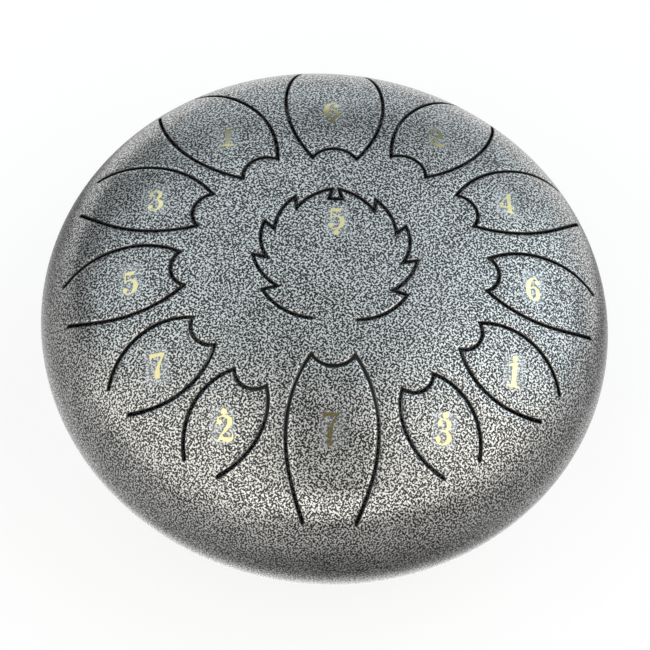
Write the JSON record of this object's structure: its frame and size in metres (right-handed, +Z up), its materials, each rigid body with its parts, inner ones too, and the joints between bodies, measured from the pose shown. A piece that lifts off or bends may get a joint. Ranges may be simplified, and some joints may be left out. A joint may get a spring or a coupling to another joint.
{
  "type": "steel tongue drum",
  "caption": "Lens-shaped closed steel drum with petal and leaf tongues cut in its upper dome, numbered for play with mallets, on rubber feet.",
  "frame": {"origin": "on the table under the drum's axis, at the level of the feet's soles", "axes": "+Z up along the drum's axis; +Y away from the player, towards the low 6 tongue; +X to the player's right"},
  "size_m": [0.305, 0.305, 0.149],
  "materials": {
    "drum_paint": "silver-grey hammered enamel",
    "note_label": "clear film with gold foil numeral",
    "foot_rubber": "matt moulded",
    "zinc_steel": "bright zinc plate"
  },
  "bodies": {
    "drum": {"upper_shell": "drum_paint", "lower_shell": "drum_paint", "rim_weld": "drum_paint", "rubber_foot_1": "foot_rubber", "rubber_foot_2": "foot_rubber", "rubber_foot_3": "foot_rubber", "rubber_foot_4": "foot_rubber", "foot_screws": "zinc_steel", "foot_washers": "zinc_steel", "foot_nuts": "zinc_steel"},
    "tongue_low_5": {"tongue_low_5": "drum_paint", "label_low_5": "note_label"},
    "tongue_low_6": {"tongue_low_6": "drum_paint", "label_low_6": "note_label"},
    "tongue_low_7": {"tongue_low_7": "drum_paint", "label_low_7": "note_label"},
    "tongue_1": {"tongue_1": "drum_paint", "label_1": "note_label"},
    "tongue_2": {"tongue_2": "drum_paint", "label_2": "note_label"},
    "tongue_3": {"tongue_3": "drum_paint", "label_3": "note_label"},
    "tongue_4": {"tongue_4": "drum_paint", "label_4": "note_label"},
    "tongue_5": {"tongue_5": "drum_paint", "label_5": "note_label"},
    "tongue_6": {"tongue_6": "drum_paint", "label_6": "note_label"},
    "tongue_7": {"tongue_7": "drum_paint", "label_7": "note_label"},
    "tongue_high_1": {"tongue_high_1": "drum_paint", "label_high_1": "note_label"},
    "tongue_high_2": {"tongue_high_2": "drum_paint", "label_high_2": "note_label"},
    "tongue_high_3": {"tongue_high_3": "drum_paint", "label_high_3": "note_label"}
  },
  "joints": [
    {"name": "flex_low_5", "type": "hinge", "parent": "drum", "child": "tongue_low_5", "pos_m": [0.001, -0.0407, 0.14671], "axis": [1, 0, 0], "range_deg": [-0.6, 0.6], "stiffness_Nm_per_rad": 31.5},
    {"name": "flex_low_6", "type": "hinge", "parent": "drum", "child": "tongue_low_6", "pos_m": [0.00123, 0.141, 0.11091], "axis": [-1, 0.0087, 0], "range_deg": [-0.6, 0.6], "stiffness_Nm_per_rad": 27.3},
    {"name": "flex_low_7", "type": "hinge", "parent": "drum", "child": "tongue_low_7", "pos_m": [0.00124, -0.142, 0.10957], "axis": [1, 0.0087, 0], "range_deg": [-0.6, 0.6], "stiffness_Nm_per_rad": 27.6},
    {"name": "flex_1", "type": "hinge", "parent": "drum", "child": "tongue_1", "pos_m": [-0.08288, 0.11407, 0.11091], "axis": [-0.809, -0.5878, 0], "range_deg": [-0.6, 0.6], "stiffness_Nm_per_rad": 21.8},
    {"name": "flex_2", "type": "hinge", "parent": "drum", "child": "tongue_2", "pos_m": [0.07885, 0.11689, 0.11091], "axis": [-0.829, 0.5592, 0], "range_deg": [-0.6, 0.6], "stiffness_Nm_per_rad": 16.6},
    {"name": "flex_3", "type": "hinge", "parent": "drum", "child": "tongue_3", "pos_m": [-0.12886, 0.05076, 0.11394], "axis": [-0.3665, -0.9304, 0], "range_deg": [-0.6, 0.6], "stiffness_Nm_per_rad": 12.8},
    {"name": "flex_4", "type": "hinge", "parent": "drum", "child": "tongue_4", "pos_m": [0.12907, 0.06156, 0.10814], "axis": [-0.4305, 0.9026, 0], "range_deg": [-0.6, 0.6], "stiffness_Nm_per_rad": 13.9},
    {"name": "flex_5", "type": "hinge", "parent": "drum", "child": "tongue_5", "pos_m": [-0.13896, -0.01706, 0.11218], "axis": [0.1219, -0.9925, 0], "range_deg": [-0.6, 0.6], "stiffness_Nm_per_rad": 10.1},
    {"name": "flex_6", "type": "hinge", "parent": "drum", "child": "tongue_6", "pos_m": [0.14016, -0.0098, 0.11156], "axis": [0.0698, 0.9976, 0], "range_deg": [-0.6, 0.6], "stiffness_Nm_per_rad": 9.1},
    {"name": "flex_7", "type": "hinge", "parent": "drum", "child": "tongue_7", "pos_m": [-0.10991, -0.0784, 0.11754], "axis": [0.5807, -0.8141, 0], "range_deg": [-0.6, 0.6], "stiffness_Nm_per_rad": 6.06},
    {"name": "flex_high_1", "type": "hinge", "parent": "drum", "child": "tongue_high_1", "pos_m": [0.11639, -0.07132, 0.11607], "axis": [0.5225, 0.8526, 0], "range_deg": [-0.6, 0.6], "stiffness_Nm_per_rad": 5.93},
    {"name": "flex_high_2", "type": "hinge", "parent": "drum", "child": "tongue_high_2", "pos_m": [-0.06623, -0.11706, 0.118], "axis": [0.8704, -0.4924, 0], "range_deg": [-0.6, 0.6], "stiffness_Nm_per_rad": 4.53},
    {"name": "flex_high_3", "type": "hinge", "parent": "drum", "child": "tongue_high_3", "pos_m": [0.06923, -0.11298, 0.11975], "axis": [0.8526, 0.5225, 0], "range_deg": [-0.6, 0.6], "stiffness_Nm_per_rad": 3.84}
  ]
}
